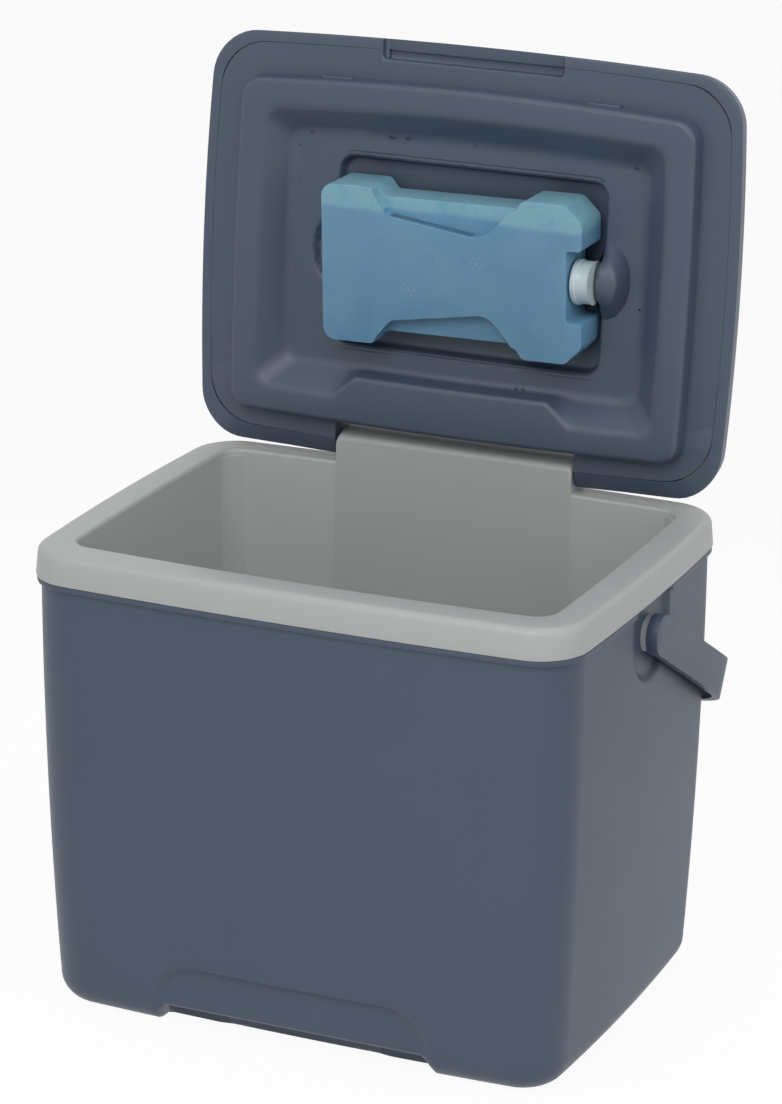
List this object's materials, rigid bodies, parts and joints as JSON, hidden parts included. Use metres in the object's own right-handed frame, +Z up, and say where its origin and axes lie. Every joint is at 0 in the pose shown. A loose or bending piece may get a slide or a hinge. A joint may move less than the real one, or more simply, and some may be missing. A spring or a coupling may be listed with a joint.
{
  "type": "hard cooler box",
  "caption": "Hard-sided cool box with a hinged insulated lid, an ice brick in the lid's pocket and a swinging carry handle.",
  "frame": {"origin": "centre of the flat underside, on the floor", "axes": "+X to the right seen from the front, +Y to the back where the hinge is, +Z up"},
  "size_m": [0.3708, 0.2881, 0.5666],
  "materials": {
    "shell": "fine grained, satin",
    "liner": "smooth, satin",
    "foam": "rigid foam, matt",
    "pin": "drawn",
    "bush": "smooth",
    "lid_shell": "fine grained, satin",
    "lid_panel": "smooth, satin",
    "handle": "fine grained, satin",
    "stud": "smooth",
    "brick": "soft sheen, let light through",
    "gel": "wet gel",
    "brick_cap": "smooth, lets light through",
    "seal": "soft"
  },
  "bodies": {
    "box": {"outer_shell": "shell", "inner_liner": "liner", "foam_front": "foam", "foam_back": "foam", "foam_left": "foam", "foam_right": "foam", "foam_base": "foam", "hinge_pin_left": "pin", "hinge_pin_right": "pin", "handle_bush_left": "bush", "handle_bush_right": "bush"},
    "lid": {"lid_outer_shell": "lid_shell", "lid_inner_panel": "lid_panel", "lid_foam": "foam"},
    "handle": {"handle": "handle", "handle_stud_left": "stud", "handle_stud_right": "stud"},
    "ice_brick": {"ice_brick_shell": "brick", "ice_gel": "gel", "ice_brick_cap": "brick_cap", "cap_seal": "seal"}
  },
  "joints": [
    {"name": "lid_hinge", "type": "hinge", "parent": "box", "child": "lid", "pos_m": [0, 0.1243, 0.3086], "axis": [1, 0, 0], "range_deg": [0, 95.25]},
    {"name": "handle_hinge", "type": "hinge", "parent": "box", "child": "handle", "pos_m": [0, 0.002, 0.2553], "axis": [1, 0, 0], "range_deg": [0, 50]},
    {"name": "ice_brick_slide", "type": "slide", "parent": "lid", "child": "ice_brick", "axis": [0, -1, 0], "range_m": [0, 0.06]}
  ]
}
